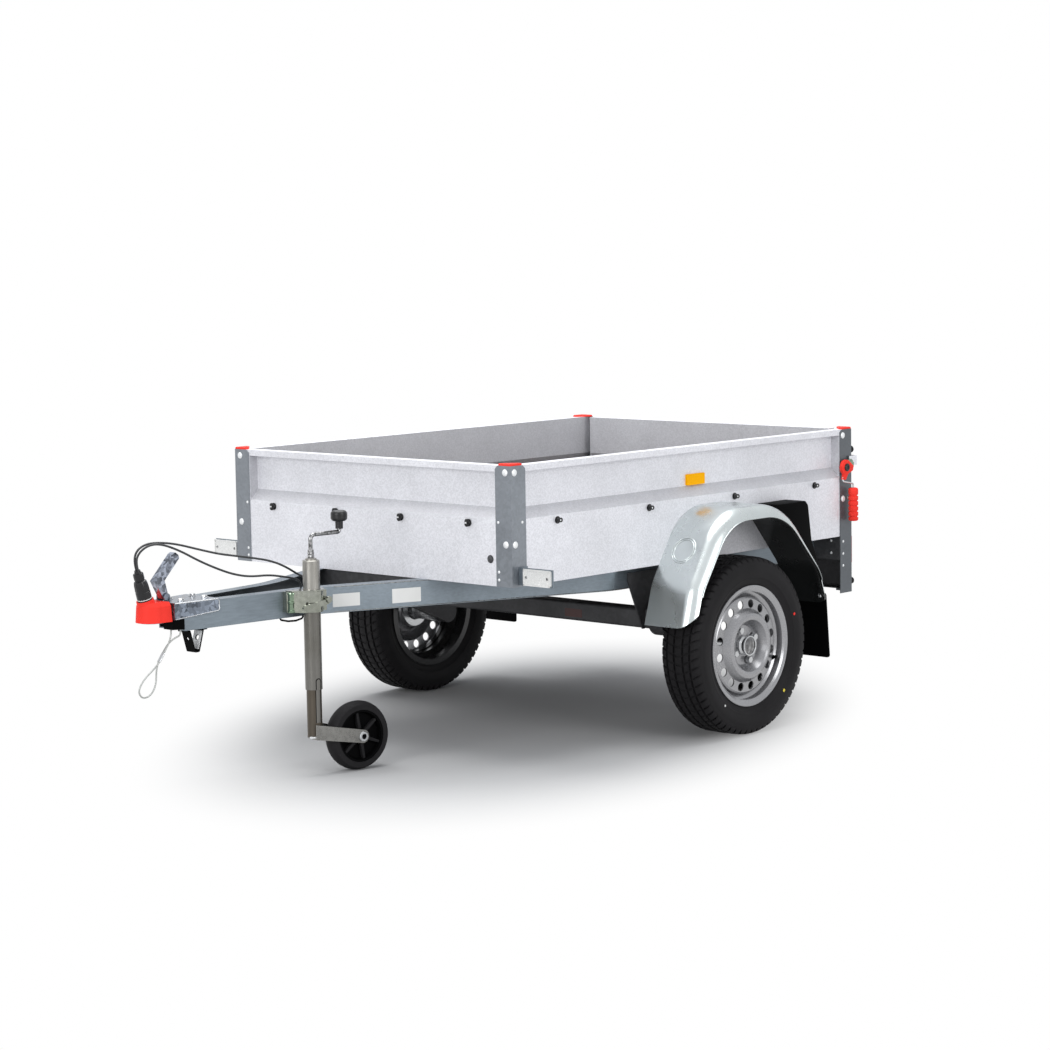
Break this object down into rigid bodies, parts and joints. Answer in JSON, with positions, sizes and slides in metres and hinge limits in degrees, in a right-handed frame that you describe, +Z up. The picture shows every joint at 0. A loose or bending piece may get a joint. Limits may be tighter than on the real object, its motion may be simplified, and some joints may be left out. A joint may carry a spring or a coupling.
{
  "type": "single axle box trailer",
  "caption": "Single-axle steel box trailer with pressed walls, V drawbar, ball coupling, jockey wheel, side mudguards and a drop-down tailgate on a rear hinge.",
  "frame": {"origin": "on the ground under the middle of the trailer's overall length and width", "axes": "+X forward to the coupling, +Y to the trailer's left, +Z up"},
  "size_m": [2.5367, 1.4808, 0.867],
  "materials": {
    "galvanised_steel": "zinc coated sheet, satin, faint spangle",
    "dark_steel": "dark coated steel, satin",
    "zinc_steel": "zinc plated with a green and yellow tint",
    "silver_rim": "silver paint, satin",
    "tyre_rubber": "matte black rubber",
    "black_plastic": "matte black",
    "red_plastic": "satin red",
    "steel_cable": "plastic sheathed steel rope, light grey",
    "red_lens": "glossy red lens",
    "clear_reflector": "clear prismatic reflector",
    "amber_reflector": "amber prismatic reflector",
    "floor_ply": "brown film-faced plywood"
  },
  "bodies": {
    "chassis": {"drawbar_left": "galvanised_steel", "drawbar_right": "galvanised_steel", "crossmembers": "galvanised_steel", "rear_crossmember": "dark_steel", "floor_board": "floor_ply", "side_wall_left": "galvanised_steel", "side_wall_right": "galvanised_steel", "front_wall": "galvanised_steel", "front_posts": "galvanised_steel", "rear_posts": "dark_steel", "post_caps": "red_plastic", "axle_tube": "dark_steel", "axle_brackets": "dark_steel", "swing_arms": "dark_steel", "mudguard_left": "galvanised_steel", "mudguard_right": "galvanised_steel", "mud_flaps": "black_plastic", "wheel_chocks": "black_plastic", "coupling_body": "zinc_steel", "coupling_cap": "red_plastic", "trailer_plug": "black_plastic", "drawbar_strap": "black_plastic", "cable_clip": "black_plastic", "cable_upper": "black_plastic", "cable_lower": "black_plastic", "safety_cable": "steel_cable", "cable_sleeve": "zinc_steel", "jockey_clamp": "zinc_steel", "rear_lamps": "red_lens", "plate_holder": "black_plastic", "rear_buffers": "black_plastic", "marker_holders": "galvanised_steel", "front_reflectors": "clear_reflector", "side_reflectors": "amber_reflector", "cover_knobs": "black_plastic"},
    "wheel_left_body": {"hub_left": "dark_steel", "rim_left": "silver_rim", "tyre_left": "tyre_rubber"},
    "wheel_right_body": {"hub_right": "dark_steel", "rim_right": "silver_rim", "tyre_right": "tyre_rubber"},
    "tailgate_body": {"tailgate": "galvanised_steel", "tailgate_knobs": "black_plastic"},
    "latch_left_body": {"latch_left": "zinc_steel", "latch_grip_left": "red_plastic"},
    "latch_right_body": {"latch_right": "zinc_steel", "latch_grip_right": "red_plastic"},
    "coupling_lever_body": {"coupling_handle": "zinc_steel"},
    "jockey_column_body": {"jockey_outer_tube": "zinc_steel"},
    "jockey_leg_body": {"jockey_inner_tube": "zinc_steel"},
    "jockey_fork_body": {"jockey_fork": "zinc_steel"},
    "jockey_wheel_body": {"jockey_tyre": "tyre_rubber", "jockey_rim": "black_plastic"},
    "jockey_crank_body": {"jockey_crank": "zinc_steel", "crank_knob": "black_plastic"}
  },
  "joints": [
    {"name": "wheel_left", "type": "hinge", "parent": "chassis", "child": "wheel_left_body", "pos_m": [-0.4855, 0.659, 0.267], "axis": [0, 1, 0], "continuous": true},
    {"name": "wheel_right", "type": "hinge", "parent": "chassis", "child": "wheel_right_body", "pos_m": [-0.4855, -0.659, 0.267], "axis": [0, 1, 0], "continuous": true},
    {"name": "tailgate_hinge", "type": "hinge", "parent": "chassis", "child": "tailgate_body", "pos_m": [-1.2355, 0, 0.53], "axis": [0, -1, 0], "range_deg": [0, 178]},
    {"name": "latch_left_turn", "type": "hinge", "parent": "chassis", "child": "latch_left_body", "pos_m": [-1.1585, 0.58, 0.742], "axis": [0, 1, 0], "range_deg": [0, 100]},
    {"name": "latch_right_turn", "type": "hinge", "parent": "chassis", "child": "latch_right_body", "pos_m": [-1.1585, -0.58, 0.742], "axis": [0, 1, 0], "range_deg": [0, 100]},
    {"name": "coupling_lever", "type": "hinge", "parent": "chassis", "child": "coupling_lever_body", "pos_m": [1.1665, 0, 0.54], "axis": [0, 1, 0], "range_deg": [-25, 10]},
    {"name": "jockey_column_slide", "type": "slide", "parent": "chassis", "child": "jockey_column_body", "axis": [0, 0, 1], "range_m": [0, 0.13]},
    {"name": "jockey_leg_slide", "type": "slide", "parent": "jockey_column_body", "child": "jockey_leg_body", "axis": [0, 0, 1], "range_m": [0, 0.1]},
    {"name": "jockey_fork_swivel", "type": "hinge", "parent": "jockey_leg_body", "child": "jockey_fork_body", "pos_m": [0.7495, 0.141, 0], "axis": [0, 0, 1], "continuous": true},
    {"name": "jockey_wheel_spin", "type": "hinge", "parent": "jockey_fork_body", "child": "jockey_wheel_body", "pos_m": [0.6118, 0.16627, 0.098], "axis": [0.1805, 0.9836, 0], "continuous": true},
    {"name": "jockey_crank_turn", "type": "hinge", "parent": "jockey_column_body", "child": "jockey_crank_body", "pos_m": [0.7495, 0.141, 0.6], "axis": [0, 0, 1], "continuous": true}
  ]
}
